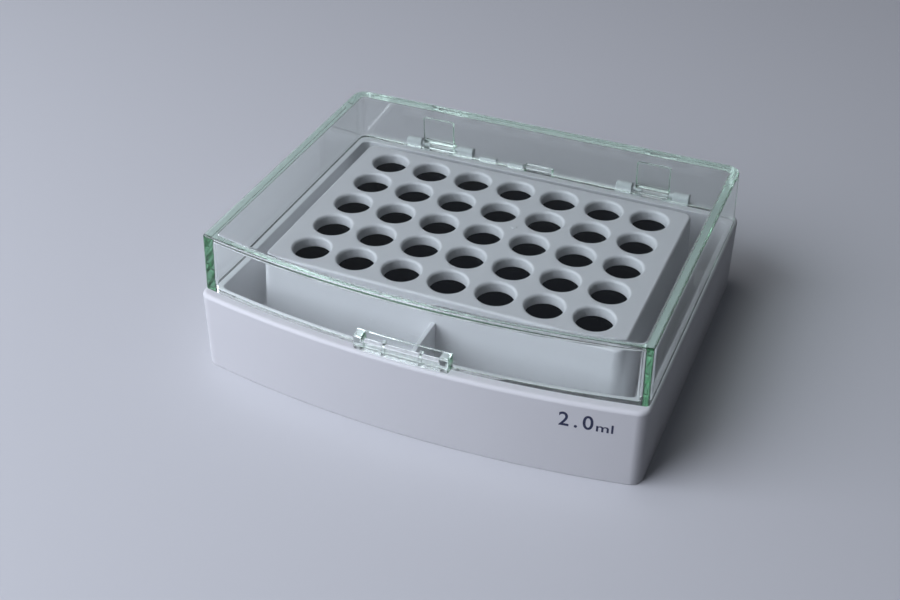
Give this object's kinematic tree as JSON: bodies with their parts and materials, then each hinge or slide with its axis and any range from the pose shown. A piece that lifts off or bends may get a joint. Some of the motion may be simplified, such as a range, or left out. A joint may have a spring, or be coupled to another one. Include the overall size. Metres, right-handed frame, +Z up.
{
  "type": "microcentrifuge tube rack",
  "caption": "Bow-fronted bench rack with a raised plate of round tube holes and a hinged clear lid with a finger catch.",
  "frame": {"origin": "on the bench, under the middle of the whole object's box", "axes": "+X to the right along the front, +Y from the bowed front to the hinged back, +Z up"},
  "size_m": [0.1382, 0.1166, 0.0452],
  "materials": {
    "white_plastic": "fine matte moulded",
    "clear_plastic": "clear polished",
    "print": "printed ink"
  },
  "bodies": {
    "base": {"rack_base": "white_plastic"},
    "lid": {"lid": "clear_plastic"}
  },
  "joints": [
    {"name": "lid_hinge", "type": "hinge", "parent": "base", "child": "lid", "pos_m": [0, 0.05672, 0.0274], "axis": [-1, 0, 0], "range_deg": [0, 140]}
  ]
}
